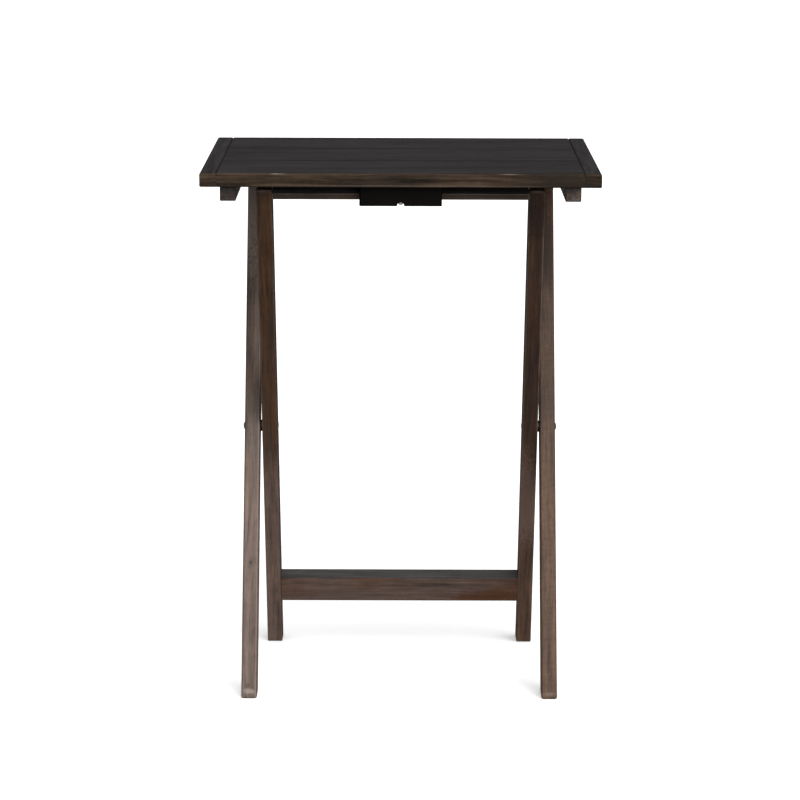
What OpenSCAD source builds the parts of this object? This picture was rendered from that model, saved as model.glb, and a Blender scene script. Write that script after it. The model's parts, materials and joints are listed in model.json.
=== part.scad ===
// Folding tray table: a planked tray on crossed folding legs.
// Millimetres, +Z up, +X to the right, -Y towards the front edge of the tray.
// The origin is on the floor, under the middle of the tray.

/* [Tray] */
// Width of the tray, left to right
tray_w = 482; // [470:1:500]
// Depth of the tray, front to back
tray_d = 388; // [380:1:400]
// Height of the tray's top face above the floor
tray_h = 660; // [640:1:680]
// Thickness of the tray's boards
board_t = 17.5; // [16:0.5:20]
// Width of each end cap
cap_w = 20.5; // [18:0.5:30]
// Radius along the tray's upper outer edges
edge_top_r = 3; // [1:0.5:4]
// Radius along the tray's lower outer edges
edge_low_r = 2; // [1:0.5:4]
// Depth of the bevels that make a V along every board joint
joint_v = 1.3; // [0.5:0.1:2]

/* [Cleats] */
// Thickness of each cleat, left to right
cleat_t = 19; // [16:1:22]
// Height of each cleat
cleat_h = 18; // [17:1:22]
// Distance from the tray's front and rear edges to the ends of a cleat
cleat_inset = 10; // [5:1:20]
// Gap between a cleat and the leg hinged to it
hinge_gap = 1.6; // [1:0.1:3]

/* [Legs] */
// Lean of each leg from the vertical, in degrees
lean = 23; // [22:0.5:24]
// Width of a leg, seen from the side of the table
leg_w = 32; // [28:1:34]
// Thickness of a leg, seen from the front
leg_t = 19.5; // [17:0.5:20]
// Distance between the outer faces of the two outer legs
stance_w = 393; // [380:1:400]
// Gap between an outer leg and the inner leg beside it
pivot_gap = 2.5; // [2:0.5:5]
// Height of the middle pivot above the floor
pivot_z = 316; // [312:1:320]
// Place of the middle pivot, front to back
pivot_y = -17; // [-25:1:-10]
// Height of the hinge screws below the tray's boards
hinge_drop = 12.5; // [12:0.5:14]

/* [Rails] */
// Thickness of the lower stretcher and the crossbar, across the leg
rail_t = 19; // [16:1:22]
// Height of the lower stretcher, along the leg
stretcher_h = 37; // [30:1:45]
// Height of the stretcher's lower front edge above the floor
stretcher_z = 63; // [50:1:100]
// Height of the crossbar, along the leg
crossbar_h = 8; // [6:0.5:9]

/* [Catch] */
// Width of the catch block
catch_w = 99.5; // [80:0.5:120]
// Height of the catch block's front wall
catch_h = 24; // [20:1:28]
// Distance from the tray's front edge to the catch block
catch_inset = 12; // [10:1:14]
// Thickness of the pad that lies between the crossbar and the tray
pad_t = 3; // [2:0.25:3]

/* [Hidden] */
$fn = 48;

// Finishes
wood_top = "#35312f";
wood_leg = "#5b4b42";
steel = "#9a9a98";
black = "#16120f";
bare_wood = "#c9a878";

// A little more than nothing, so that a cut passes through the face it starts at
nick = 0.02;
// Gap all round between a shaft and the hole that turns on it, or that it is pressed into
turn_fit = 0.06;
press_fit = 0.03;

// Tray
plank_count = 3;
under_z = tray_h - board_t;
cap_x = tray_w / 2 - cap_w;
plank_d = tray_d / plank_count;
tongue_t = 6;
tongue_l = 8;
tongue_side = 6;
tongue_stop = 14;
tongue_fit = 0.1;
board_mid_z = under_z + board_t / 2;

// Legs
outer_x = stance_w / 2;
inner_x = outer_x - leg_t - pivot_gap;
hinge_z = under_z - hinge_drop;
arm = (hinge_z - pivot_z) / cos(lean);
hinge_y = pivot_y + arm * sin(lean);
leg_run = pivot_z / cos(lean) + leg_w;
end_gap = 0.7;
end_r = hinge_drop - end_gap;
// The tray's swing past the leg ends, measured from the leg's own axis, in degrees
end_swing = 67;
inner_end_h = 6;
inner_end_r = 3;

// Cleats
cleat_x = outer_x + hinge_gap;
cleat_len = tray_d - 2 * cleat_inset;

// Crossbar, measured up the inner leg's axis from the point level with the hinge screws
crossbar_e = 8.75;

// Fastenings
pin_d = 6;
head_d = 11;
head_h = 2.4;
socket_w = 4;
socket_h = 1.6;
spacer_d = 14.5;
nut_d = 9;
nut_flange_d = 13;
nut_flange_h = 1.2;
nut_socket_h = 3;
washer_d = 13;
washer_t = 1.2;
dowel_d = 8;
dowel_in_leg = 13;
dowel_in_rail = 16;
dowel_pitch = 18;
wood_screw_d = 4;
wood_screw_head_d = 8;
cleat_screw_y = [-150, -10, 165];
cleat_screw_l = 29;
crossbar_screw_head_d = 7.5;
crossbar_screw_l = 40;
drive_w = 0.9;
drive_depth = 1.3;
hinge_screw_in = 14;
pivot_bolt_in = 12;
// Gap under a bolt's head, so that the leg turns freely beneath it
head_seat = 0.1;

// Catch
catch_y = -tray_d / 2 + catch_inset;
catch_low_z = under_z - catch_h;
catch_wall = 12.3;
catch_pad_l = 30;
catch_edge_r = 3;
notch_r = 4.2;
notch_rise = 0.5;
notch_top_z = catch_low_z + notch_rise + notch_r;
catch_screw_d = 3.5;
catch_screw_head_d = 6.6;
catch_screw_head_h = 4;
catch_screw_bite = 10;
catch_screw_x = 34;
pad_screw_in = 18;
pad_screw_l = 14;

// Rails, as seen along the inner leg: across it, and up it from the middle pivot
rail_n = (rail_t - leg_w) / 2;
stretcher_e = (stretcher_z - pivot_z + leg_w / 2 * sin(lean)) / cos(lean);

// Radius of the sphere that a dome of width d and height h is cut from
function dome_r(d, h) = (d * d / 4 + h * h) / (2 * h);

// Extrudes a side view, drawn in Y and Z, along X from x0 for the length len
module extrude_x(x0, len) {
  translate([x0, 0, 0]) rotate([90, 0, 90]) linear_extrude(height = len) children();
}

// Draws a front view, drawn in X and Z, along Y from y0 for the length len
module extrude_y(y0, len) {
  translate([0, y0 + len, 0]) rotate([90, 0, 0]) linear_extrude(height = len) children();
}

// Builds the children on the right, or mirrored on the left
module on_side(side) {
  if (side > 0) children();
  else mirror([1, 0, 0]) children();
}

// ---- Tray ----

// The outline of the board edge: width w about x = 0, with round upper and lower corners
module board_outline(w) {
  for (s = [-1, 1]) {
    translate([s * (w / 2 - edge_top_r), tray_h - edge_top_r]) circle(r = edge_top_r);
    translate([s * (w / 2 - edge_low_r), under_z + edge_low_r]) circle(r = edge_low_r);
  }
  polygon([
    [-w / 2 + edge_low_r, under_z], [w / 2 - edge_low_r, under_z],
    [w / 2, under_z + edge_low_r], [w / 2, tray_h - edge_top_r],
    [w / 2 - edge_top_r, tray_h], [-w / 2 + edge_top_r, tray_h],
    [-w / 2, tray_h - edge_top_r], [-w / 2, under_z + edge_low_r]
  ]);
}

// A V cut along Y at x, or along X at y, in the tray's top face
module v_cut_y(x) {
  extrude_y(-tray_d, 2 * tray_d) translate([x, tray_h]) rotate(45)
    square(joint_v * sqrt(2), center = true);
}
module v_cut_x(y) {
  extrude_x(-tray_w, 2 * tray_w) translate([y, tray_h]) rotate(45)
    square(joint_v * sqrt(2), center = true);
}

// Tongues, or with a fit the grooves for them
module end_tongue(y0, y1, side, fit) {
  x0 = side > 0 ? cap_x - 1 : -cap_x - tongue_l - fit;
  translate([x0, y0 - fit, board_mid_z - tongue_t / 2 - fit])
    cube([tongue_l + 1 + fit, y1 - y0 + 2 * fit, tongue_t + 2 * fit]);
}
module side_tongue(y, fit) {
  translate([-cap_x, y - 1, board_mid_z - tongue_t / 2 - fit])
    cube([2 * cap_x, tongue_side + 1 + fit, tongue_t + 2 * fit]);
}

// One plank, counted from the front
module plank(index) {
  y0 = -tray_d / 2 + index * plank_d;
  y1 = y0 + plank_d;
  first = index == 0;
  last = index == plank_count - 1;
  color(wood_top)
    difference() {
      union() {
        intersection() {
          extrude_x(-cap_x, 2 * cap_x) board_outline(tray_d);
          translate([-cap_x, y0, 0]) cube([2 * cap_x, plank_d, tray_h + 1]);
        }
        for (side = [-1, 1])
          end_tongue(y0 + (first ? tongue_stop : 0), y1 - (last ? tongue_stop : 0), side, 0);
        if (!last) side_tongue(y1, 0);
      }
      if (!first) {
        side_tongue(y0, tongue_fit);
        v_cut_x(y0);
      }
      if (!last) v_cut_x(y1);
      for (side = [-1, 1]) v_cut_y(side * cap_x);
      cleat_screw_set(press_fit);
      catch_screw_set(press_fit);
    }
}
module plank_front() { plank(0); }
module plank_middle() { plank(1); }
module plank_rear() { plank(2); }

module end_cap(side) {
  x0 = side > 0 ? cap_x : -tray_w / 2;
  color(wood_top)
    difference() {
      intersection() {
        extrude_x(x0, cap_w) board_outline(tray_d);
        extrude_y(-tray_d / 2, tray_d) board_outline(tray_w);
      }
      end_tongue(-tray_d / 2 + tongue_stop, tray_d / 2 - tongue_stop, side, tongue_fit);
      v_cut_y(side * cap_x);
    }
}
module end_cap_left() { end_cap(-1); }
module end_cap_right() { end_cap(1); }

// ---- Cleats and their screws ----

module cleat(side) {
  color(wood_leg)
    difference() {
      on_side(side)
        translate([cleat_x, -cleat_len / 2, under_z - cleat_h]) cube([cleat_t, cleat_len, cleat_h]);
      cleat_screw_set(press_fit);
      hinge_bore(side, cleat_x - 1, cleat_t + 2, turn_fit);
    }
}
module cleat_left() { cleat(-1); }
module cleat_right() { cleat(1); }

// A countersunk screw pointing up, with its head's face at z = 0.
// With a fit above 0 it is the hole for that screw, open below.
module countersunk(shank_d, top_d, len, fit) {
  difference() {
    union() {
      cylinder(h = (top_d - shank_d) / 2, d1 = top_d + 2 * fit, d2 = shank_d + 2 * fit);
      cylinder(h = len + fit, d = shank_d + 2 * fit);
    }
    if (fit == 0) drive_cross(top_d);
  }
  if (fit > 0) translate([0, 0, -1]) cylinder(h = 1 + nick, d = top_d + 2 * fit);
}

// The cross-shaped recess for a screwdriver, in a head's face at z = 0
module drive_cross(top_d) {
  for (turn = [0, 90])
    rotate(turn) translate([-top_d / 4, -drive_w / 2, -1])
      cube([top_d / 2, drive_w, 1 + drive_depth]);
}

module cleat_screw_set(fit) {
  for (side = [-1, 1], y = cleat_screw_y)
    translate([side * (cleat_x + cleat_t / 2), y, under_z - cleat_h])
      countersunk(wood_screw_d, wood_screw_head_d, cleat_screw_l, fit);
}
module cleat_screws() {
  color(steel) cleat_screw_set(0);
}

// ---- Catch that holds the crossbar ----

// The front wall, seen from above
module catch_wall_plan() {
  for (s = [-1, 1])
    translate([s * (catch_w / 2 - catch_edge_r), catch_y + catch_edge_r]) circle(r = catch_edge_r);
  translate([-catch_w / 2 + catch_edge_r, catch_y]) square([catch_w - 2 * catch_edge_r, catch_wall]);
  translate([-catch_w / 2, catch_y + catch_edge_r]) square([catch_w, catch_wall - catch_edge_r]);
}
module catch_block() {
  color(black)
    difference() {
      union() {
        translate([0, 0, catch_low_z]) linear_extrude(height = catch_h) catch_wall_plan();
        translate([-catch_w / 2, catch_y + catch_wall - 1, under_z - pad_t])
          cube([catch_w, catch_pad_l + 1, pad_t]);
      }
      extrude_y(catch_y - 1, catch_wall + 2) {
        translate([0, catch_low_z + notch_rise]) circle(r = notch_r);
        translate([-notch_r, catch_low_z - 1]) square([2 * notch_r, 1 + notch_rise]);
      }
      translate([0, catch_y + catch_wall / 2, catch_low_z - 1])
        cylinder(h = 1 + notch_top_z - catch_low_z, d = catch_screw_head_d + 2 * head_seat);
      catch_screw_set(press_fit);
    }
}

// A domed head of width d and height h, rising from z = 0
module dome(d, h) {
  rotate_extrude() intersection() {
    translate([0, h - dome_r(d, h)]) circle(r = dome_r(d, h), $fn = 96);
    square([d / 2, h]);
  }
}

// A hexagonal socket that goes down from z = 0
module socket(depth) {
  translate([0, 0, -depth]) cylinder(h = depth + 1, d = socket_w / cos(30), $fn = 6);
}
module socket_head(d, h) {
  difference() {
    dome(d, h);
    translate([0, 0, h]) socket(socket_h);
  }
}

// The tall screw through the front wall, and the two short ones through the pad
module catch_screw_set(fit) {
  translate([0, catch_y + catch_wall / 2, notch_top_z - nick])
    cylinder(h = under_z + catch_screw_bite + fit - notch_top_z, d = catch_screw_d + 2 * fit);
  for (side = [-1, 1])
    translate([side * catch_screw_x, catch_y + catch_wall + pad_screw_in, under_z - pad_t])
      countersunk(catch_screw_d, catch_screw_head_d, pad_screw_l, fit);
}
module catch_screws() {
  color(steel) {
    catch_screw_set(0);
    translate([0, catch_y + catch_wall / 2, notch_top_z]) mirror([0, 0, 1]) difference() {
      dome(catch_screw_head_d, catch_screw_head_h);
      translate([0, 0, catch_screw_head_h]) mirror([0, 0, 1]) drive_cross(catch_screw_head_d);
    }
  }
}

// ---- Legs ----

// Moves a side view drawn about a leg's own axis to the pivot, leaning back or forward
module lean_side(forward) {
  translate([pivot_y, pivot_z]) rotate(forward ? lean : -lean) children();
}
module above_floor() {
  translate([-tray_d, 0]) square([2 * tray_d, tray_h]);
}

// Outer leg: its top is round about the hinge screw, so that the tray can swing past it
module outer_leg_outline() {
  half = leg_w / 2;
  intersection() {
    lean_side(false) {
      polygon([
        [-half, -leg_run], [half, -leg_run],
        [half, arm + (end_r - half * sin(end_swing)) / cos(end_swing)],
        [end_r * sin(end_swing), arm + end_r * cos(end_swing)],
        [-end_r * sin(lean), arm + end_r * cos(lean)],
        [-half, arm + (end_r - half * sin(lean)) / cos(lean)]
      ]);
      translate([0, arm]) circle(r = end_r);
    }
    above_floor();
  }
}

// Inner leg: its top is level, below the tray, and its corners clear the tray as it folds
module inner_leg_outline() {
  half = leg_w / 2;
  corner_n = -half + inner_end_r;
  corner_e = (inner_end_h - inner_end_r - corner_n * sin(lean)) / cos(lean);
  rear_n = (cos(end_swing) * inner_end_h - cos(lean) * end_r) / sin(lean - end_swing);
  rear_e = (inner_end_h - rear_n * sin(lean)) / cos(lean);
  intersection() {
    lean_side(true) {
      polygon([
        [-half, -leg_run], [half, -leg_run],
        [half, arm + (end_r - half * sin(end_swing)) / cos(end_swing)],
        [rear_n, arm + rear_e],
        [corner_n + inner_end_r * sin(lean), arm + corner_e + inner_end_r * cos(lean)],
        [-half, arm + corner_e]
      ]);
      translate([corner_n, arm + corner_e]) circle(r = inner_end_r);
    }
    above_floor();
  }
}

module pivot_bore(side, x0, len, d) {
  on_side(side) translate([x0, pivot_y, pivot_z]) rotate([0, 90, 0]) cylinder(h = len, d = d);
}
module hinge_bore(side, x0, len, fit) {
  on_side(side)
    translate([x0, hinge_y, hinge_z]) rotate([0, 90, 0]) cylinder(h = len, d = pin_d + 2 * fit);
}

module outer_leg(side) {
  color(wood_leg)
    difference() {
      on_side(side) extrude_x(outer_x - leg_t, leg_t) outer_leg_outline();
      pivot_bore(side, outer_x - leg_t - 1, leg_t + 2, pin_d + 2 * turn_fit);
      hinge_bore(side, outer_x - hinge_screw_in, hinge_screw_in + 1, press_fit);
    }
}
module outer_leg_left() { outer_leg(-1); }
module outer_leg_right() { outer_leg(1); }

module inner_leg(side) {
  color(wood_leg)
    difference() {
      on_side(side) extrude_x(inner_x - leg_t, leg_t) inner_leg_outline();
      pivot_bore(side, inner_x - leg_t - 1, leg_t + 2, nut_d + 2 * press_fit);
      stretcher_dowel_set(press_fit);
      crossbar_screw_set(press_fit);
    }
}
module inner_leg_left() { inner_leg(-1); }
module inner_leg_right() { inner_leg(1); }

// ---- Hinge screws between the cleats and the outer legs ----

module hinge_screw(side) {
  color(steel)
    on_side(side) translate([0, hinge_y, hinge_z]) rotate([0, 90, 0]) {
      translate([0, 0, outer_x - hinge_screw_in + press_fit])
        cylinder(h = hinge_screw_in + hinge_gap + cleat_t + head_seat + nick, d = pin_d);
      translate([0, 0, cleat_x + cleat_t + head_seat]) socket_head(head_d, head_h);
    }
}
module hinge_screw_left() { hinge_screw(-1); }
module hinge_screw_right() { hinge_screw(1); }

module hinge_washer(side) {
  color(steel)
    difference() {
      on_side(side)
        translate([outer_x + (hinge_gap - washer_t) / 2, hinge_y, hinge_z]) rotate([0, 90, 0])
          cylinder(h = washer_t, d = washer_d);
      hinge_bore(side, outer_x - 1, hinge_gap + 2, turn_fit);
    }
}
module hinge_washer_left() { hinge_washer(-1); }
module hinge_washer_right() { hinge_washer(1); }

// ---- Rails of the inner frame ----

// A rail between the inner legs, flush with their front faces, from e0 to e1 up the leg
module rail(e0, e1) {
  extrude_x(-inner_x + leg_t, 2 * (inner_x - leg_t)) lean_side(true)
    translate([-leg_w / 2, e0]) square([rail_t, e1 - e0]);
}
// Places the children's X axis along X, at n across and e up the inner leg
module in_rail(n, e) {
  translate([0, pivot_y, pivot_z]) rotate([lean, 0, 0]) translate([0, n, e]) rotate([0, 90, 0])
    children();
}

module lower_stretcher() {
  color(wood_leg)
    difference() {
      rail(stretcher_e, stretcher_e + stretcher_h);
      stretcher_dowel_set(press_fit);
    }
}
module stretcher_dowel_set(fit) {
  len = dowel_in_leg + dowel_in_rail + 2 * fit;
  for (side = [-1, 1], row = [-1, 1])
    in_rail(rail_n, stretcher_e + stretcher_h / 2 + row * dowel_pitch / 2)
      translate([0, 0, side * (inner_x - leg_t + (dowel_in_leg - dowel_in_rail) / 2) - len / 2])
        cylinder(h = len, d = dowel_d + 2 * fit);
}
module stretcher_dowels() {
  color(bare_wood) stretcher_dowel_set(0);
}

module top_crossbar() {
  color(wood_leg)
    difference() {
      rail(arm + crossbar_e - crossbar_h, arm + crossbar_e);
      crossbar_screw_set(press_fit);
    }
}
module crossbar_screw_set(fit) {
  for (side = [-1, 1])
    in_rail(rail_n, arm + crossbar_e - crossbar_h / 2)
      rotate([0, side > 0 ? 180 : 0, 0]) translate([0, 0, -inner_x])
        countersunk(wood_screw_d, crossbar_screw_head_d, crossbar_screw_l, fit);
}
module crossbar_screws() {
  color(steel) crossbar_screw_set(0);
}

// ---- Middle pivots ----

module pivot_bolt(side) {
  color(steel)
    on_side(side) translate([0, pivot_y, pivot_z]) rotate([0, 90, 0]) {
      translate([0, 0, inner_x - pivot_bolt_in])
        cylinder(h = pivot_bolt_in + pivot_gap + leg_t + head_seat + nick, d = pin_d);
      translate([0, 0, outer_x + head_seat]) socket_head(head_d, head_h);
    }
}
module pivot_bolt_left() { pivot_bolt(-1); }
module pivot_bolt_right() { pivot_bolt(1); }

module pivot_spacer(side) {
  color(steel)
    difference() {
      pivot_bore(side, inner_x, pivot_gap - head_seat, spacer_d);
      pivot_bore(side, inner_x - 1, pivot_gap + 2, pin_d + 2 * press_fit);
    }
}
module pivot_spacer_left() { pivot_spacer(-1); }
module pivot_spacer_right() { pivot_spacer(1); }

// A sleeve nut through the inner leg, with a thin domed flange on the leg's inner face
module pivot_nut(side) {
  flange_x = inner_x - leg_t;
  color(steel)
    difference() {
      union() {
        pivot_bore(side, flange_x - nut_flange_h / 3, leg_t + nut_flange_h / 3 - head_seat, nut_d);
        on_side(side) translate([flange_x, pivot_y, pivot_z]) rotate([0, -90, 0])
          dome(nut_flange_d, nut_flange_h);
      }
      pivot_bore(side, inner_x - pivot_bolt_in - press_fit, pivot_bolt_in + 1, pin_d + 2 * press_fit);
      on_side(side) translate([flange_x - nut_flange_h, pivot_y, pivot_z]) rotate([0, -90, 0])
        socket(nut_socket_h);
    }
}
module pivot_nut_left() { pivot_nut(-1); }
module pivot_nut_right() { pivot_nut(1); }

plank_front();
plank_middle();
plank_rear();
end_cap_left();
end_cap_right();
cleat_left();
cleat_right();
cleat_screws();
catch_block();
catch_screws();
outer_leg_left();
outer_leg_right();
hinge_screw_left();
hinge_screw_right();
hinge_washer_left();
hinge_washer_right();
inner_leg_left();
inner_leg_right();
lower_stretcher();
stretcher_dowels();
top_crossbar();
crossbar_screws();
pivot_bolt_left();
pivot_bolt_right();
pivot_spacer_left();
pivot_spacer_right();
pivot_nut_left();
pivot_nut_right();
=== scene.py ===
"""Looks of the folding tray table: materials, softened edges, camera, light and floor."""

import json
import math
import random

import bmesh
import bpy
from mathutils import Euler, Matrix, Vector
from mathutils.kdtree import KDTree


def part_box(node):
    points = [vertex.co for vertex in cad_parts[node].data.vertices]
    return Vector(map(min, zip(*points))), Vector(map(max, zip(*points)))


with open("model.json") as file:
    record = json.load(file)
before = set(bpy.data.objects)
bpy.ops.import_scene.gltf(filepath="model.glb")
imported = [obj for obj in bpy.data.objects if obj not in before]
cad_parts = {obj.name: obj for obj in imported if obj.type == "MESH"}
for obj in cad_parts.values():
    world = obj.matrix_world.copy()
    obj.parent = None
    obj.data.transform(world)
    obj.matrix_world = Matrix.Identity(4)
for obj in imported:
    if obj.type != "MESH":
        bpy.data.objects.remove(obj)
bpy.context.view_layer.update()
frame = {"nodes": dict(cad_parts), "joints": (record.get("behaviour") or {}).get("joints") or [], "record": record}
nodes = frame["nodes"]
scene = bpy.context.scene

# ---- Camera ----

# Set so that the tray's edges, the feet and the rails fall where the photo shows them
LENS_MM = 140.82
SENSOR_MM = 36.0
CAMERA_AT = Vector((0.0, -3.9155, 1.1117))
CAMERA_PITCH = math.radians(11.066)
CAMERA_ROLL = 0.0030
CLIP_END = 100.0


def make_camera():
    data = bpy.data.cameras.new("camera")
    data.lens = LENS_MM
    data.sensor_width = SENSOR_MM
    data.clip_end = CLIP_END
    camera = bpy.data.objects.new("camera", data)
    turn = Matrix.Rotation(math.pi / 2 - CAMERA_PITCH, 4, "X") @ Matrix.Rotation(CAMERA_ROLL, 4, "Z")
    camera.matrix_world = Matrix.Translation(CAMERA_AT) @ turn
    scene.collection.objects.link(camera)
    scene.camera = camera


make_camera()

# ---- Sizes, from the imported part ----

PLANK_COUNT = 3
tray_low, tray_high = Vector(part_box("plank_front")[0]), Vector(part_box("plank_rear")[1])
cap_low, cap_high = Vector(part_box("end_cap_left")[0]), Vector(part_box("end_cap_right")[1])
joints = {joint["name"]: joint for joint in frame["joints"]}
CAP_JOINT_X = -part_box("end_cap_left")[1][0]
PLANK_JOINT_Y = (cap_high.y - cap_low.y) / PLANK_COUNT / 2
PIVOT = Vector(joints["leg_fold"]["pos_m"])
HINGE = Vector(joints["tray_swing"]["pos_m"])
LEAN = math.atan2(HINGE.y - PIVOT.y, HINGE.z - PIVOT.z)

# Grain along a piece's own Z: turns that bring Z to the piece's length
UPRIGHT = Euler()
ALONG_X = Euler((0, math.pi / 2, 0))
ALONG_Y = Euler((-math.pi / 2, 0, 0))
ALONG_OUTER_LEG = Euler((-LEAN, 0, 0))
ALONG_INNER_LEG = Euler((LEAN, 0, 0))
ALONG_RAIL = (ALONG_INNER_LEG.to_matrix() @ ALONG_X.to_matrix()).to_euler()


def own_box(name, turn):
    """The middle and the half sizes of a node's box, in axes that are turned with the piece."""
    to_own = turn.to_matrix().inverted()
    points = [to_own @ v.co for v in nodes[name].data.vertices]
    low = Vector(min(p[i] for p in points) for i in range(3))
    high = Vector(max(p[i] for p in points) for i in range(3))
    return turn.to_matrix() @ ((low + high) / 2), (high - low) / 2


# ---- Node helpers ----


class Graph:
    """A short way to write a material's nodes."""

    def __init__(self, owner):
        owner.use_nodes = True
        self.tree = owner.node_tree
        self.tree.nodes.clear()

    def node(self, kind, inputs=None, **settings):
        made = self.tree.nodes.new(kind)
        for key, value in settings.items():
            setattr(made, key, value)
        for key, value in (inputs or {}).items():
            self.put(made.inputs[key], value)
        return made

    def put(self, socket, value):
        if isinstance(value, bpy.types.NodeSocket):
            self.tree.links.new(value, socket)
        else:
            socket.default_value = value

    def math(self, operation, a, b=0.0, c=0.0):
        made = self.node("ShaderNodeMath", operation=operation)
        for socket, value in zip(made.inputs, (a, b, c)):
            self.put(socket, value)
        return made.outputs[0]

    def vector(self, operation, a, b=None):
        made = self.node("ShaderNodeVectorMath", operation=operation)
        self.put(made.inputs[0], a)
        if b is not None:
            self.put(made.inputs[1], b)
        return made.outputs["Value" if operation in ("LENGTH", "DOT_PRODUCT") else "Vector"]

    def scale(self, a, factor):
        inputs = {0: a, "Scale": factor}
        return self.node("ShaderNodeVectorMath", inputs, operation="SCALE").outputs["Vector"]

    def axes(self, a):
        """The X, Y and Z of a vector."""
        return self.node("ShaderNodeSeparateXYZ", {"Vector": a}).outputs

    def ramp(self, value, low, high, out_low=0.0, out_high=1.0):
        """Value from low to high, eased, as out_low to out_high."""
        made = self.node("ShaderNodeMapRange", interpolation_type="SMOOTHSTEP")
        for key, number in (("Value", value), ("From Min", low), ("From Max", high)):
            self.put(made.inputs[key], number)
        self.put(made.inputs["To Min"], out_low)
        self.put(made.inputs["To Max"], out_high)
        return made.outputs["Result"]

    def noise(self, place, cells, detail, roughness):
        """The outputs of noise with so many cells per metre along each axis."""
        stretched = self.vector("MULTIPLY", place, cells)
        inputs = {"Vector": stretched, "Scale": 1.0, "Detail": detail, "Roughness": roughness}
        return self.node("ShaderNodeTexNoise", inputs).outputs

    def mix(self, factor, a, b):
        made = self.node("ShaderNodeMix", data_type="RGBA")
        self.put(made.inputs[0], factor)
        self.put(made.inputs[6], a)
        self.put(made.inputs[7], b)
        return made.outputs[2]

    def finish(self, shader, kind="ShaderNodeOutputMaterial"):
        out = self.node(kind)
        self.put(out.inputs["Surface"], shader)


def tone(red, green, blue, gain=1.0):
    return (red * gain, green * gain, blue * gain, 1.0)


# ---- Wood ----

# How far, in metres, a piece's place in the noises is moved at random
SEED_REACH = 9
# The noises: cells per metre, twice across the grain and once along it, then detail and roughness
BEND = (16, 16, 4), 2.0, 0.5
BENT_NOISES = {
    "fibre": ((330, 330, 14), 5.0, 0.6),
    "figure": ((95, 95, 4.5), 3.0, 0.5),
    "pores": ((1500, 1500, 60), 2.0, 0.5),
}
STRAIGHT_NOISES = {
    "mottle": ((75, 75, 42), 3.0, 0.6),
    "ripple": ((60, 60, 240), 2.0, 0.6),
    "hue": ((34, 34, 9), 3.0, 0.5),
    "edge_wear_and_shading": ((90, 90, 26), 4.0, 0.6),
    "waver": ((420, 420, 260), 2.0, 0.55),
}
# How far the grain wanders across as it runs along the piece
WANDER = (0.014, 0.014, 0.0)
# Where in their noises the pores and the warmer streaks begin and are full
PORE_REACH = (0.60, 0.72)
WARM_REACH = (0.40, 0.60)
# How much a face looks up where the painted light on upward faces begins and is full
UPWARD_REACH = (0.5, 0.95)
# How squarely a face looks along Y to be the end of a board's grain
END_FACE = 0.6
# How much the figure shifts the place where a leg turns paler
LOW_SHIFT = 0.1
# The noise at which the edge tones, wear and painted edge light and shade, are broken and whole, and how much of
# them is left there
EDGE_BREAKS = (0.36, 0.60, 0.25, 1.0)
# How much a spot's outline wavers, and where it begins to fade and is gone
SPOT_WAVER = 0.9
SPOT_FADE = (0.75, 1.5)
# How far under the tray's top the stain in the joints fades
GROOVE_LOW = 0.004
GROOVE_HIGH = 0.003
# How much rougher fibres, pores and joints are, and the relief of fibres and pores
FIBRE_ROUGH = 0.16
PORE_ROUGH = 0.12
JOINT_ROUGH = 0.4
PORE_RELIEF = 0.8
RELIEF_M = 0.0004


def edge_distance(graph, place, half):
    """Distance from a point of the surface to the nearest long edge of the piece's box."""
    gap = graph.vector("SUBTRACT", tuple(half), graph.vector("ABSOLUTE", place))
    parts = graph.axes(gap)
    near = graph.math("MINIMUM", parts[0], parts[1])
    far = graph.math("MAXIMUM", parts[0], parts[1])
    return graph.math("MAXIMUM", near, graph.math("MINIMUM", far, parts[2]))


def joint_lines(graph, here, lines):
    """How dark the V grooves of the tray's top are. A line is an axis, a place on it, a reach and a depth."""
    axes = graph.axes(here)
    dark = 0.0
    for axis, place, reach, depth in lines:
        gap = graph.math("ABSOLUTE", graph.math("SUBTRACT", axes[axis], place))
        dark = graph.math("MAXIMUM", dark, graph.ramp(gap, reach / 2, reach, depth, 0.0))
    top = graph.ramp(axes[2], tray_high.z - GROOVE_LOW, tray_high.z - GROOVE_HIGH)
    return graph.math("MULTIPLY", dark, top)


def streaks_on_ends(graph, place, normal):
    """Turns the grain where a face looks along Y, so that streaks run on along the tray's front."""
    x, y, z = graph.axes(place)
    crossed = graph.node("ShaderNodeCombineXYZ", {"X": z, "Y": y, "Z": x}).outputs[0]
    along_y = graph.math("ABSOLUTE", graph.axes(normal)["Y"])
    return graph.mix(graph.math("GREATER_THAN", along_y, END_FACE), place, crossed)


def make_grain(graph, place):
    """The noises that the wood's colour, roughness and relief are made from, by name."""
    wander = graph.vector("MULTIPLY", graph.noise(place, *BEND)["Color"], WANDER)
    bent = graph.vector("ADD", place, wander)
    grain = {name: graph.noise(bent, *noise)["Fac"] for name, noise in BENT_NOISES.items()}
    for name, noise in STRAIGHT_NOISES.items():
        grain[name] = graph.noise(place, *noise)["Fac"]
    grain["pores"] = graph.ramp(grain["pores"], *PORE_REACH)
    return grain


def make_stain(graph, look, grain, own, normal):
    """The stain's colour before the grain: streaks of two tones, painted light and sheen on upward faces, and a
    paler tone low down that is partly lighter stain and partly painted sheen.
    """
    stain = graph.mix(graph.ramp(grain["hue"], *WARM_REACH), look["tone"], look["warm"])
    # Upward faces get a tone of painted light: grey sheen on the tray and rails, light on the inner legs' tops
    if "top_painted_light" in look:
        upward = graph.ramp(graph.axes(normal)["Z"], *UPWARD_REACH)
        stain = graph.mix(upward, stain, look["top_painted_light"])
    # Paler towards the foot: partly a lighter stain, partly painted sheen from the floor
    if "low_tone_and_sheen" in look:
        figure = graph.math("SUBTRACT", grain["figure"], 0.5)
        along = graph.math("MULTIPLY_ADD", figure, LOW_SHIFT, graph.axes(own)["Z"])
        stain = graph.mix(graph.ramp(along, *look["low_reach"], 1.0, 0.0), stain, look["low_tone_and_sheen"])
    return stain


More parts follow.
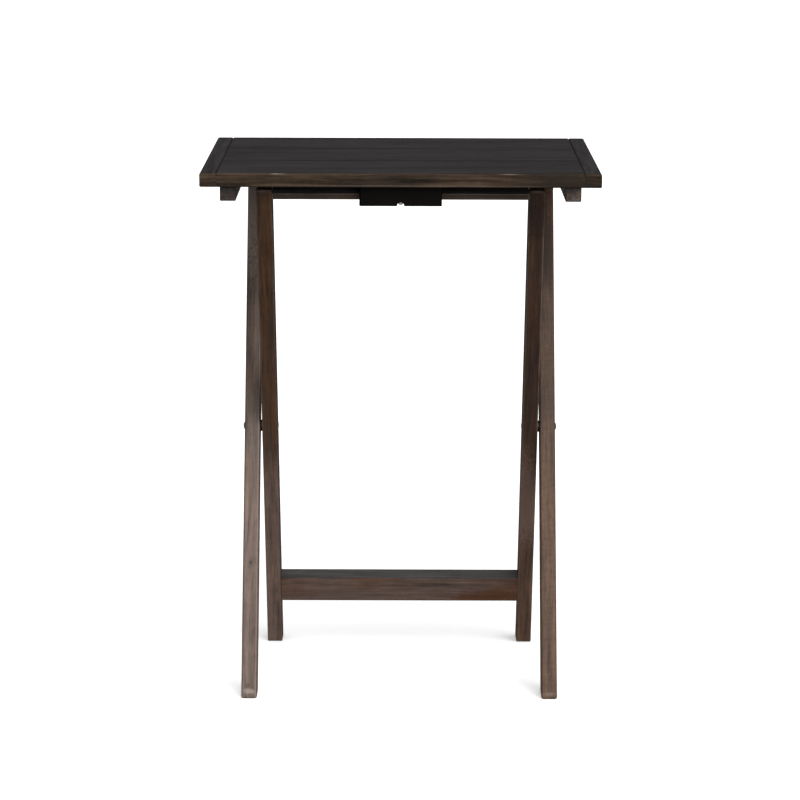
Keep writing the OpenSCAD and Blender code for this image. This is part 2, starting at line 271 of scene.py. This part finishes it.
def add_grain(graph, look, grain, stain):
    """Shades the stain with the fibres and the larger figure, and darkens its pores."""
    value = 0.5
    for part in ("fibre", "figure", "mottle", "ripple"):
        value = graph.math("MULTIPLY_ADD", graph.math("SUBTRACT", grain[part], 0.5), look[part], value)
    value = graph.math("MAXIMUM", graph.math("MINIMUM", value, 1.0), 0.0)
    gain = graph.math("MULTIPLY_ADD", graph.math("SUBTRACT", value, 0.5), look["contrast"], 1.0)
    pores = graph.math("MULTIPLY", grain["pores"], look["pores"])
    return graph.mix(pores, graph.scale(stain, gain), look["pore_tone"])


def add_edge_wear_and_shading(graph, look, grain, away, colour):
    """Tints the stain near the edges, with breaks: partly wear, partly painted highlights on the arrises and
    painted shade along the outline.
    """
    edge_mask = graph.ramp(away, 0.0, look["edge_wear_and_shading_width"], look["edge_wear_and_shading"], 0.0)
    broken = graph.ramp(grain["edge_wear_and_shading"], *EDGE_BREAKS)
    return graph.mix(graph.math("MULTIPLY", edge_mask, broken), colour, look["edge_wear_and_shading_tone"])


def add_spot(graph, here, waver, spot, colour):
    centre, sizes, spot_tone, depth = spot
    around = graph.vector("DIVIDE", graph.vector("SUBTRACT", here, centre), sizes)
    reach = graph.math("MULTIPLY_ADD", waver, SPOT_WAVER, graph.vector("LENGTH", around))
    return graph.mix(graph.ramp(reach, *SPOT_FADE, depth, 0.0), colour, spot_tone)


def wood(name, turn, centre, half, look, seed, spots, lines):
    """Stained wood whose grain, edge tones (wear and painted edge light and shade), spots (some of them painted
    light and shade) and joint lines suit one piece.
    """
    material = bpy.data.materials.new(name)
    graph = Graph(material)
    rng = random.Random(seed)
    texture = graph.node("ShaderNodeTexCoord").outputs
    here = texture["Object"]
    placing = {"Vector": here, "Location": tuple(centre), "Rotation": tuple(turn)}
    own = graph.node("ShaderNodeMapping", placing, vector_type="TEXTURE").outputs["Vector"]
    place = graph.vector("ADD", own, tuple(rng.uniform(-SEED_REACH, SEED_REACH) for _ in range(3)))
    if look["end_streaks"]:
        place = streaks_on_ends(graph, place, texture["Normal"])

    grain = make_grain(graph, place)
    joint = joint_lines(graph, here, lines) if lines else 0.0
    colour = make_stain(graph, look, grain, own, texture["Normal"])
    colour = add_grain(graph, look, grain, colour)
    colour = graph.mix(joint, colour, look["joint_tone"])
    colour = add_edge_wear_and_shading(graph, look, grain, edge_distance(graph, own, half), colour)
    for spot in spots:
        colour = add_spot(graph, here, grain["waver"], spot, colour)

    rough = graph.math("MULTIPLY_ADD", grain["fibre"], FIBRE_ROUGH, look["roughness"] - FIBRE_ROUGH / 2)
    rough = graph.math("MULTIPLY_ADD", grain["pores"], PORE_ROUGH, rough)
    rough = graph.math("MULTIPLY_ADD", joint, JOINT_ROUGH, rough)
    pits = graph.math("MULTIPLY", grain["pores"], PORE_RELIEF)
    relief = graph.math("SUBTRACT", grain["fibre"], pits)
    bump = graph.node("ShaderNodeBump", {"Height": relief, "Strength": look["bump"], "Distance": RELIEF_M})
    shader = graph.node(
        "ShaderNodeBsdfPrincipled",
        {
            "Base Color": colour,
            "Roughness": rough,
            "Specular IOR Level": look["specular"],
            "Normal": bump.outputs["Normal"],
        },
    )
    graph.finish(shader.outputs[0])
    return material


# What the stained woods share. Besides some wear, a pale edge tone paints highlights on the arrises and a dark one
# paints a shaded outline.
WOOD = {
    "pore_tone": tone(0.008, 0.006, 0.005),
    "joint_tone": tone(0.002, 0.0015, 0.0015),
    "contrast": 1.5,
    "fibre": 1.6,
    "figure": 1.2,
    "mottle": 0.5,
    "ripple": 0.15,
    "pores": 0.45,
    "edge_wear_and_shading": 0.4,
    "edge_wear_and_shading_width": 0.0022,
    "roughness": 0.52,
    "specular": 0.2,
    "bump": 0.4,
    "end_streaks": False,
}
TRAY_LOOK = dict(
    WOOD,
    tone=tone(0.034, 0.024, 0.017),
    warm=tone(0.052, 0.034, 0.022),
    # The tray's top: a darker, nearly neutral tone that paints in its grey sheen
    top_painted_light=tone(0.0175, 0.0152, 0.0158),
    edge_wear_and_shading_tone=tone(0.085, 0.068, 0.056),
    contrast=1.65,
    mottle=0.3,
    edge_wear_and_shading=0.7,
    edge_wear_and_shading_width=0.0014,
    roughness=0.6,
    specular=0.05,
)
CAP_LOOK = dict(TRAY_LOOK, end_streaks=True)
DARK_CAP_LOOK = dict(CAP_LOOK, tone=tone(0.022, 0.016, 0.012), warm=tone(0.034, 0.022, 0.015))
OUTER_LEFT_LOOK = dict(
    WOOD,
    tone=tone(0.098, 0.075, 0.063),
    warm=tone(0.114, 0.079, 0.060),
    # Paler low down: lighter stain and painted sheen
    low_tone_and_sheen=tone(0.138, 0.098, 0.078),
    low_reach=(-0.13, -0.02),
    # Dark edge tone: a painted shaded outline along the leg's edges
    edge_wear_and_shading_tone=tone(0.03, 0.024, 0.02),
    edge_wear_and_shading=0.6,
    edge_wear_and_shading_width=0.0018,
    contrast=1.1,
)
OUTER_RIGHT_LOOK = dict(
    WOOD,
    tone=tone(0.074, 0.044, 0.029),
    warm=tone(0.082, 0.047, 0.029),
    low_tone_and_sheen=tone(0.098, 0.056, 0.035),
    low_reach=(-0.10, 0.02),
    # Dark edge tone: a painted shaded outline along the leg's edges
    edge_wear_and_shading_tone=tone(0.025, 0.018, 0.014),
    edge_wear_and_shading=0.6,
    edge_wear_and_shading_width=0.0018,
    contrast=1.1,
    ripple=0.6,
)
INNER_LEFT_LOOK = dict(
    WOOD,
    tone=tone(0.058, 0.032, 0.019),
    warm=tone(0.074, 0.037, 0.019),
    low_tone_and_sheen=tone(0.138, 0.092, 0.074),
    low_reach=(-0.10, 0.02),
    # The leg's top end: a paler tone that paints light where the tray shades it
    top_painted_light=tone(0.130, 0.095, 0.078),
    # Pale edge tone: painted highlights on the leg's arrises
    edge_wear_and_shading_tone=tone(0.20, 0.16, 0.135),
    edge_wear_and_shading=0.85,
    edge_wear_and_shading_width=0.0019,
    contrast=1.2,
)
INNER_RIGHT_LOOK = dict(
    INNER_LEFT_LOOK,
    tone=tone(0.042, 0.023, 0.016),
    warm=tone(0.048, 0.025, 0.015),
    low_tone_and_sheen=tone(0.098, 0.055, 0.036),
)
RAIL_LOOK = dict(
    WOOD,
    tone=tone(0.120, 0.080, 0.064),
    warm=tone(0.110, 0.053, 0.031),
    # The rails' tops: a grey tone that paints in their sheen
    top_painted_light=tone(0.042, 0.038, 0.038),
    # Dark edge tone: a painted shaded outline along the rail's edges
    edge_wear_and_shading_tone=tone(0.02, 0.016, 0.014),
    contrast=1.2,
    edge_wear_and_shading=0.5,
    edge_wear_and_shading_width=0.0014,
)
CROSSBAR_LOOK = dict(
    RAIL_LOOK,
    tone=tone(0.062, 0.043, 0.031),
    warm=tone(0.066, 0.040, 0.027),
    # Pale edge tone: a painted highlight on the bar's front arris
    edge_wear_and_shading_tone=tone(0.22, 0.19, 0.17),
    edge_wear_and_shading=0.7,
)
LEFT_CLEAT_LOOK = dict(
    WOOD,
    tone=tone(0.039, 0.031, 0.026),
    warm=tone(0.044, 0.031, 0.024),
    edge_wear_and_shading_tone=tone(0.022, 0.018, 0.015),
)
RIGHT_CLEAT_LOOK = dict(
    WOOD,
    tone=tone(0.073, 0.057, 0.048),
    warm=tone(0.081, 0.057, 0.044),
    edge_wear_and_shading_tone=tone(0.03, 0.024, 0.02),
)
BEECH_LOOK = dict(
    WOOD,
    tone=tone(0.50, 0.35, 0.20),
    warm=tone(0.52, 0.33, 0.18),
    pore_tone=tone(0.20, 0.12, 0.06),
    edge_wear_and_shading_tone=tone(0.6, 0.45, 0.3),
)

# ---- Spots: knots, patches of stain, pale patches, and painted light, glints and shade, each a centre, sizes, a tone and a depth ----

OUTER_LEG_AT, OUTER_LEG_HALF = own_box("outer_leg_right", ALONG_OUTER_LEG)
INNER_LEG_AT, INNER_LEG_HALF = own_box("inner_leg_right", UPRIGHT)
STRETCHER_AT, STRETCHER_HALF = own_box("lower_stretcher", UPRIGHT)
OUTER_LEG_X = OUTER_LEG_AT.x
INNER_LEG_X = INNER_LEG_AT.x

KNOT = tone(0.022, 0.014, 0.011)
# The tone of pale patches low on the legs
PALE_PATCH = tone(0.34, 0.28, 0.24)


def on_leg_front(x, height):
    """The point of an outer leg's front face at x and a height."""
    y = PIVOT.y + (height - PIVOT.z) * math.tan(LEAN) - OUTER_LEG_HALF.y / math.cos(LEAN)
    return (x, y, height)


def on_front_edge(x, back, down):
    """The point at x so far back and down from the tray's upper front edge."""
    return (x, tray_low.y + back, tray_high.z - down)


def on_stretcher(x):
    """The point at x in the stretcher, near its lower front edge."""
    low = STRETCHER_AT - STRETCHER_HALF
    return (x, low.y + 0.0115, low.z + 0.001)


def band(x, height, reach, band_tone, depth):
    """A patch right across a leg that is at x."""
    return (x, 0.0, height), (0.08, 0.5, reach), band_tone, depth


def strip(x, reach, strip_tone, depth):
    """A patch that is narrow in X and runs the whole length of a leg."""
    return (x, 0.0, PIVOT.z), (reach, 1.0, 1.0), strip_tone, depth


def shaded_face(side):
    """The inner leg's face that looks to the middle of the table."""
    return strip(side * (INNER_LEG_X - INNER_LEG_HALF.x), 0.0012, tone(0.022, 0.013, 0.009), 0.75)


def top_arris_highlight(side):
    """A painted highlight on the front edge of an inner leg's top."""
    y = INNER_LEG_AT.y - INNER_LEG_HALF.y + 0.0019
    z = INNER_LEG_AT.z + INNER_LEG_HALF.z - 0.001
    return (side * INNER_LEG_X, y, z), (0.0100, 0.0030, 0.0011), tone(0.24, 0.18, 0.15), 0.75


INNER_LEFT_SPOTS = (shaded_face(-1), top_arris_highlight(-1))
INNER_RIGHT_SPOTS = (
    shaded_face(1),
    # Painted shade under the tray, at the top of the leg
    band(INNER_LEG_X, 0.605, 0.040, tone(0.018, 0.010, 0.008), 0.65),
    top_arris_highlight(1),
    # Painted sheen from the floor, low on the leg
    band(INNER_LEG_X, 0.212, 0.082, tone(0.200, 0.133, 0.108), 0.7),
)
KNOT_AT = on_leg_front(-OUTER_LEG_X, 0.1573)
OUTER_LEFT_SPOTS = (
    (KNOT_AT, (0.0026, 0.003, 0.0034), KNOT, 0.8),
    (KNOT_AT, (0.0055, 0.009, 0.012), tone(0.07, 0.052, 0.043), 0.4),
    (on_leg_front(0.0067 - OUTER_LEG_X, 0.0489), (0.003, 0.004, 0.005), tone(0.06, 0.045, 0.038), 0.5),
    (on_leg_front(-0.0021 - OUTER_LEG_X, 0.0149), (0.004, 0.004, 0.006), tone(0.05, 0.04, 0.034), 0.5),
    (on_leg_front(-OUTER_LEG_X, 0.0085), (0.009, 0.012, 0.0045), PALE_PATCH, 0.55),
    # A painted highlight along the leg's lit inner edge
    strip(OUTER_LEG_HALF.x - 0.0017 - OUTER_LEG_X, 0.0011, tone(0.215, 0.165, 0.140), 0.7),
    # Painted light on the top of the leg, where the tray shades it
    band(-OUTER_LEG_X, 0.610, 0.120, tone(0.280, 0.218, 0.190), 0.65),
)
OUTER_RIGHT_SPOTS = (
    # Painted shade under the tray, near the top of the leg
    band(OUTER_LEG_X, 0.530, 0.055, tone(0.030, 0.018, 0.012), 0.65),
    band(OUTER_LEG_X, 0.345, 0.040, tone(0.040, 0.025, 0.018), 0.35),
    (on_leg_front(OUTER_LEG_X, 0.006), (0.010, 0.012, 0.0030), PALE_PATCH, 0.2),
    (on_leg_front(OUTER_LEG_X, 0.015), (0.010, 0.012, 0.0045), tone(0.07, 0.038, 0.024), 0.5),
)
STRETCHER_SPOTS = (
    (on_stretcher(-0.090), (0.110, 0.040, 0.023), tone(0.105, 0.074, 0.061), 0.7),
    (on_stretcher(0.125), (0.065, 0.040, 0.023), tone(0.100, 0.042, 0.022), 0.5),
)
# A painted highlight along the tray's lower front edge
LOWER_EDGE_HIGHLIGHT_AT = (0.0, tray_low.y, tray_low.z + 0.0021)
LOWER_EDGE_HIGHLIGHT = ((LOWER_EDGE_HIGHLIGHT_AT, (0.230, 0.004, 0.0008), tone(0.150, 0.122, 0.104), 0.45),)
FRONT_EDGE_SPOTS = LOWER_EDGE_HIGHLIGHT + (
    # Painted glints on the tray's upper front edge
    (on_front_edge(-0.148, 0.0006, 0.0014), (0.0105, 0.0014, 0.0008), tone(0.34, 0.31, 0.29), 0.4),
    (on_front_edge(0.130, 0.0006, 0.0014), (0.0150, 0.0012, 0.0007), tone(0.22, 0.18, 0.16), 0.45),
    (on_front_edge(0.198, -0.001, 0.010), (0.045, 0.050, 0.017), tone(0.020, 0.015, 0.011), 0.75),
)

# ---- The wooden pieces ----

# Joint lines in the tray's top: the axis they lie across, their place on it, reach and depth
CAP_LINES = tuple((0, side * CAP_JOINT_X, 0.0016, 0.45) for side in (-1, 1))
PLANK_LINES = CAP_LINES + tuple((1, side * PLANK_JOINT_Y, 0.0022, 0.75) for side in (-1, 1))
# The tray's boards: each one's node, turn, look, seed, spots and joint lines
BOARDS = (
    ("plank_front", ALONG_X, TRAY_LOOK, 11, FRONT_EDGE_SPOTS, PLANK_LINES),
    ("plank_middle", ALONG_X, TRAY_LOOK, 12, (), PLANK_LINES),
    ("plank_rear", ALONG_X, TRAY_LOOK, 13, (), PLANK_LINES),
    ("end_cap_left", ALONG_Y, CAP_LOOK, 21, LOWER_EDGE_HIGHLIGHT, CAP_LINES),
    ("end_cap_right", ALONG_Y, DARK_CAP_LOOK, 22, LOWER_EDGE_HIGHLIGHT, CAP_LINES),
)
# The pieces that aren't boards: each one's node, turn, look, seed and spots
STICKS = (
    ("cleat_left", ALONG_Y, LEFT_CLEAT_LOOK, 31, ()),
    ("cleat_right", ALONG_Y, RIGHT_CLEAT_LOOK, 32, ()),
    ("outer_leg_left", ALONG_OUTER_LEG, OUTER_LEFT_LOOK, 41, OUTER_LEFT_SPOTS),
    ("outer_leg_right", ALONG_OUTER_LEG, OUTER_RIGHT_LOOK, 42, OUTER_RIGHT_SPOTS),
    ("inner_leg_left", ALONG_INNER_LEG, INNER_LEFT_LOOK, 51, INNER_LEFT_SPOTS),
    ("inner_leg_right", ALONG_INNER_LEG, INNER_RIGHT_LOOK, 53, INNER_RIGHT_SPOTS),
    ("lower_stretcher", ALONG_RAIL, RAIL_LOOK, 61, STRETCHER_SPOTS),
    ("top_crossbar", ALONG_RAIL, CROSSBAR_LOOK, 62, ()),
    ("stretcher_dowels", ALONG_X, BEECH_LOOK, 71, ()),
)


def give(name, material):
    """Makes a material the only one of a node."""
    nodes[name].data.materials.clear()
    nodes[name].data.materials.append(material)


def dress_boards():
    """Gives the boards their wood. All share the tray's box, so that only its outside gets the edge tones of wear
    and painted edge light.
    """
    centre = (cap_low + cap_high) / 2
    for name, turn, look, seed, spots, lines in BOARDS:
        own_size = turn.to_matrix().inverted() @ (cap_high - cap_low)
        half = Vector(abs(size) / 2 for size in own_size)
        give(name, wood(name + "_wood", turn, centre, half, look, seed, spots, lines))


def dress_sticks():
    """Gives every other wooden piece its wood."""
    for name, turn, look, seed, spots in STICKS:
        centre, half = own_box(name, turn)
        give(name, wood(name + "_wood", turn, centre, half, look, seed, spots, ()))


dress_boards()
dress_sticks()

# ---- Metal and plastic ----

# Each kind's grain and clouds as noises, where the clouds begin and are full, and its relief
METAL = {
    "grain": ((900, 900, 900), 4.0, 0.6),
    "clouds": ((160, 160, 160), 3.0, 0.55),
    "cloud_reach": (0.35, 0.65),
    "bump": 0.15,
    "bump_m": 0.0001,
    "metallic": 1.0,
    "specular": 0.5,
}
PLASTIC = {
    "grain": ((1400, 1400, 1400), 3.0, 0.5),
    "clouds": ((40, 40, 40), 3.0, 0.55),
    "cloud_reach": (0.3, 0.7),
    "bump": 0.25,
    "bump_m": 0.00012,
    "metallic": 0.0,
    "specular": 0.05,
}
# How much rougher the peaks of the grain are than its dips
GRAIN_ROUGH = 0.2


def plain(name, kind, roughness, low, high):
    """Metal or plastic with a fine grain, clouded from one tone to another."""
    material = bpy.data.materials.new(name)
    graph = Graph(material)
    here = graph.node("ShaderNodeTexCoord").outputs["Object"]
    grain = graph.noise(here, *kind["grain"])["Fac"]
    cloud = graph.ramp(graph.noise(here, *kind["clouds"])["Fac"], *kind["cloud_reach"])
    relief = {"Height": grain, "Strength": kind["bump"], "Distance": kind["bump_m"]}
    shader = graph.node(
        "ShaderNodeBsdfPrincipled",
        {
            "Base Color": graph.mix(cloud, low, high),
            "Metallic": kind["metallic"],
            "Roughness": graph.math("MULTIPLY_ADD", grain, GRAIN_ROUGH, roughness - GRAIN_ROUGH / 2),
            "Specular IOR Level": kind["specular"],
            "Normal": graph.node("ShaderNodeBump", relief).outputs["Normal"],
        },
    )
    graph.finish(shader.outputs[0])
    return material


zinc = plain("zinc_steel", METAL, 0.34, tone(0.30, 0.29, 0.27), tone(0.50, 0.49, 0.46))
pale_zinc = plain("pale_zinc", METAL, 0.55, tone(0.66, 0.65, 0.60), tone(0.88, 0.87, 0.80))
dark_steel = plain("dark_steel", METAL, 0.55, tone(0.06, 0.055, 0.05), tone(0.11, 0.10, 0.09))
BLACK = (0.0028, 0.0019, 0.0016)
black_plastic = plain("black_plastic", PLASTIC, 0.48, tone(*BLACK), tone(*BLACK, 1.5))

SLOTS = {part["node"]: part["material_slot"] for part in frame["record"]["subparts"]}
PLAIN = {"zinc_steel": zinc, "black_plastic": black_plastic}
SPECIAL = {"pivot_spacer_left": dark_steel, "pivot_spacer_right": dark_steel, "catch_screws": pale_zinc}
for name, slot in SLOTS.items():
    if slot in PLAIN:
        give(name, SPECIAL.get(name, PLAIN[slot]))

# ---- Softened edges ----

# How far each wooden or moulded piece's square edges are rounded
BEVELS = {
    "plank": 0.0004,
    "end_cap": 0.0004,
    "cleat": 0.0016,
    "outer_leg": 0.0025,
    "inner_leg": 0.0016,
    "lower_stretcher": 0.0012,
    "top_crossbar": 0.0010,
    "catch_block": 0.0009,
}
BEVEL_SEGMENTS = 3
# The pieces whose ends stand against other pieces
BUTTED = ("lower_stretcher", "top_crossbar")
WELD_GAP = 0.00001
SQUARE = math.radians(60)
FLAT = math.radians(0.5)
# The largest rim of a bore, and how near an edge lies to a rail's end to be part of it
BORE_REACH = 0.015
END_REACH = 0.0002


def edge_groups(edges):
    """Edges that hang together, as lists."""
    left = set(edges)
    groups = []
    while left:
        group = []
        todo = [left.pop()]
        while todo:
            edge = todo.pop()
            group.append(edge)
            near = {e for vert in edge.verts for e in vert.link_edges if e in left}
            left -= near
            todo += near
        groups.append(group)
    return groups


def outline_edges(data, butted):
    """True for the square edges of a piece's outline, but not for bores' rims or, if butted, for its ends."""
    mesh = bmesh.new()
    mesh.from_mesh(data)
    bmesh.ops.remove_doubles(mesh, verts=mesh.verts, dist=WELD_GAP)
    mesh.verts.index_update()
    square = [e for e in mesh.edges if e.is_manifold and e.calc_face_angle() > SQUARE]
    end_x = max(v.co.x for v in mesh.verts) - END_REACH
    pairs = set()
    for group in edge_groups(square):
        points = [v.co for e in group for v in e.verts]
        reach = max(max(p[i] for p in points) - min(p[i] for p in points) for i in range(3))
        if reach > BORE_REACH:
            kept = [e for e in group if not butted or min(abs(v.co.x) for v in e.verts) < end_x]
            pairs |= {frozenset(v.index for v in e.verts) for e in kept}
    welded = KDTree(len(mesh.verts))
    for vert in mesh.verts:
        welded.insert(vert.co, vert.index)
    welded.balance()
    mesh.free()
    same = [welded.find(v.co)[1] for v in data.vertices]
    return [frozenset(same[i] for i in e.vertices) in pairs for e in data.edges]


def soften(piece, width):
    """Rounds a piece's outline with modifiers, which leave its own mesh as it is."""
    data = piece.data
    rounded = outline_edges(data, piece.name in BUTTED)
    weights = data.attributes.new("bevel_weight_edge", "FLOAT", "EDGE")
    weights.data.foreach_set("value", [float(mark) for mark in rounded])
    weld = piece.modifiers.new("weld", "WELD")
    weld.merge_threshold = WELD_GAP
    flat = piece.modifiers.new("flat", "DECIMATE")
    flat.decimate_type = "DISSOLVE"
    flat.angle_limit = FLAT
    bevel = piece.modifiers.new("bevel", "BEVEL")
    bevel.width = width
    bevel.segments = BEVEL_SEGMENTS
    bevel.limit_method = "WEIGHT"
    bevel.use_clamp_overlap = False
    bevel.harden_normals = True


for start, width in BEVELS.items():
    for name, piece in nodes.items():
        if name.startswith(start) and not name.endswith("screws"):
            soften(piece, width)

# ---- Floor ----

# The floor lies just under the feet, flat as far as its radius, and then curves up to a wall
FLOOR_Z = -0.0002
FLAT_R = 13.0
CURVE_R = 3.0
WALL_H = 9.0
FLOOR_TURNS = 64
CURVE_RINGS = 15


def floor_profile():
    """The radius and the height of each ring of the floor, from the flat part to the wall's top."""
    lifts = [math.pi / 2 * i / CURVE_RINGS for i in range(CURVE_RINGS + 1)]
    curve = [(FLAT_R + CURVE_R * math.sin(lift), CURVE_R - CURVE_R * math.cos(lift)) for lift in lifts]
    return curve + [(FLAT_R + CURVE_R, WALL_H)]


def floor_mesh():
    mesh = bmesh.new()
    turns = [2 * math.pi * i / FLOOR_TURNS for i in range(FLOOR_TURNS)]
    rings = []
    for radius, height in floor_profile():
        points = [(radius * math.cos(turn), radius * math.sin(turn), height + FLOOR_Z) for turn in turns]
        rings.append([mesh.verts.new(point) for point in points])
    mesh.faces.new(rings[0])
    for inner, outer in zip(rings, rings[1:]):
        for i in range(FLOOR_TURNS):
            j = (i + 1) % FLOOR_TURNS
            mesh.faces.new((inner[i], outer[i], outer[j], inner[j])).smooth = True
    data = bpy.data.meshes.new("floor")
    mesh.to_mesh(data)
    mesh.free()
    return data


def floor_paper():
    material = bpy.data.materials.new("floor_paper")
    graph = Graph(material)
    shader = graph.node(
        "ShaderNodeBsdfPrincipled",
        {
            "Base Color": tone(0.93, 0.93, 0.93),
            "Roughness": 0.9,
            "Specular IOR Level": 0.1,
            "Emission Color": tone(1.0, 1.0, 1.0),
            "Emission Strength": 0.22,
        },
    )
    graph.finish(shader.outputs[0])
    return material


def make_floor():
    """A plain pale floor that takes shadows, but throws no light or shadow on the table."""
    floor = bpy.data.objects.new("floor", floor_mesh())
    scene.collection.objects.link(floor)
    floor.data.materials.append(floor_paper())
    floor.visible_diffuse = False
    floor.visible_glossy = False
    floor.visible_shadow = False


make_floor()

# ---- Light ----

# How wide the soft lights are, in radians
SUN_SPREAD = 0.9
# Each light's name, the direction it comes from, its strength and whether it shows in gloss
SUNS = (
    ("key", (0.40, -0.80, 1.0), 1.65, True),
    ("front", (0.45, -1.0, 0.45), 1.25, True),
    ("back", (-0.35, 1.0, 0.35), 0.5, False),
)
WORLD_LOW = 0.2
WORLD_HIGH = 0.95
# The world is darkest from just under the horizon down, and its brightest point leans so many radians
WORLD_HORIZON = -0.1
WORLD_LEAN = 0.35


def sun_light(name, from_direction, strength, glossy):
    """A soft light that is as strong everywhere."""
    data = bpy.data.lights.new(name, "SUN")
    data.angle = SUN_SPREAD
    data.energy = strength
    light = bpy.data.objects.new(name, data)
    light.rotation_euler = Vector(from_direction).to_track_quat("Z", "Y").to_euler()
    light.visible_glossy = glossy
    scene.collection.objects.link(light)


def make_world():
    """A plain studio that is brightest overhead and a little to the front."""
    world = bpy.data.worlds.new("studio")
    scene.world = world
    graph = Graph(world)
    way = graph.node("ShaderNodeTexCoord").outputs["Generated"]
    up = graph.vector("DOT_PRODUCT", way, (0.0, -math.sin(WORLD_LEAN), math.cos(WORLD_LEAN)))
    level = graph.ramp(up, WORLD_HORIZON, 1.0, WORLD_LOW, WORLD_HIGH)
    grey = graph.node("ShaderNodeCombineColor", {"Red": level, "Green": level, "Blue": level})
    shader = graph.node("ShaderNodeBackground", {"Color": grey.outputs[0]})
    graph.finish(shader.outputs[0], "ShaderNodeOutputWorld")


for sun in SUNS:
    sun_light(*sun)
make_world()
scene.view_settings.view_transform = "Standard"
scene.view_settings.look = "None"
